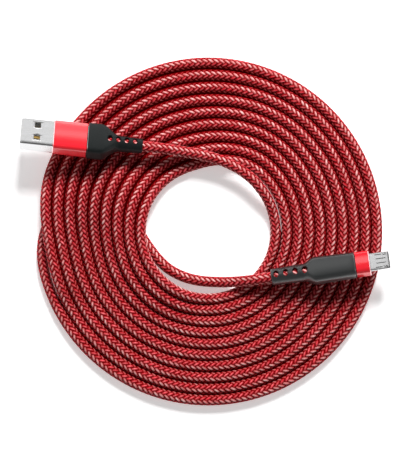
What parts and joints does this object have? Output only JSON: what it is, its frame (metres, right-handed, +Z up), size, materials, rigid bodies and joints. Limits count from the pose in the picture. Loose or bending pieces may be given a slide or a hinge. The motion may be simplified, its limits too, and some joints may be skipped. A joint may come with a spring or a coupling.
{
  "type": "charging cable",
  "caption": "Braided charging cable with a USB-A plug and a micro-USB plug, lying as a flat round coil with both plugs on top of it.",
  "frame": {"origin": "bottom centre of the whole cable's box, on the surface that the coil lies on", "axes": "+Z up from that surface, +X from the USB-A plug's side of the coil to the micro-USB plug's side, +Y away from the viewer of the flat coil"},
  "size_m": [0.1364, 0.1294, 0.0185],
  "materials": {
    "braided_cord": "red and pale pink nylon braid",
    "boot_black": "satin moulded TPE",
    "red_aluminium": "bright red anodised",
    "crimp_steel": "plain crimped ferrule",
    "plug_steel": "nickel-plated stamped steel",
    "latch_steel": "spring steel",
    "contact_gold": "gold-plated contact",
    "insulator_white": "moulded insulator",
    "insulator_black": "moulded insulator",
    "mould_grey": "inner moulding",
    "jacket_grey": "cord's inner jacket",
    "wire_red": "wire insulation",
    "wire_white": "wire insulation",
    "wire_green": "wire insulation",
    "wire_black": "wire insulation"
  },
  "bodies": {
    "cable": {"cord_coil": "braided_cord", "cord_micro_lead": "braided_cord", "cord_usb_a_lead": "braided_cord", "micro_boot": "boot_black", "micro_contact_data_minus": "contact_gold", "micro_contact_data_plus": "contact_gold", "micro_contact_ground": "contact_gold", "micro_contact_id": "contact_gold", "micro_contact_vbus": "contact_gold", "micro_cord_end": "braided_cord", "micro_crimp_ring": "crimp_steel", "micro_front_insert": "insulator_black", "micro_inner_jacket": "jacket_grey", "micro_inner_mould": "mould_grey", "micro_insulator": "insulator_black", "micro_ring": "red_aluminium", "micro_shell": "plug_steel", "micro_wire_black": "wire_black", "micro_wire_green": "wire_green", "micro_wire_red": "wire_red", "micro_wire_white": "wire_white", "usb_a_boot": "boot_black", "usb_a_contact_data_minus": "contact_gold", "usb_a_contact_data_plus": "contact_gold", "usb_a_contact_ground": "contact_gold", "usb_a_contact_vbus": "contact_gold", "usb_a_cord_end": "braided_cord", "usb_a_crimp_ring": "crimp_steel", "usb_a_inner_jacket": "jacket_grey", "usb_a_inner_mould": "mould_grey", "usb_a_insulator": "insulator_white", "usb_a_shell": "plug_steel", "usb_a_sleeve": "red_aluminium", "usb_a_wire_black": "wire_black", "usb_a_wire_green": "wire_green", "usb_a_wire_red": "wire_red", "usb_a_wire_white": "wire_white"},
    "latch_left": {"micro_latch_left": "latch_steel"},
    "latch_right": {"micro_latch_right": "latch_steel"}
  },
  "joints": [
    {"name": "latch_left_press", "type": "hinge", "parent": "cable", "child": "latch_left", "pos_m": [0.0606, -0.00907, 0.00997], "axis": [-0.1019, 0.9084, -0.4055], "range_deg": [0, 4.5], "stiffness_Nm_per_rad": 0.02},
    {"name": "latch_right_press", "type": "hinge", "parent": "cable", "child": "latch_right", "pos_m": [0.06111, -0.01361, 0.012], "axis": [-0.1019, 0.9084, -0.4055], "range_deg": [0, 4.5], "stiffness_Nm_per_rad": 0.02}
  ]
}
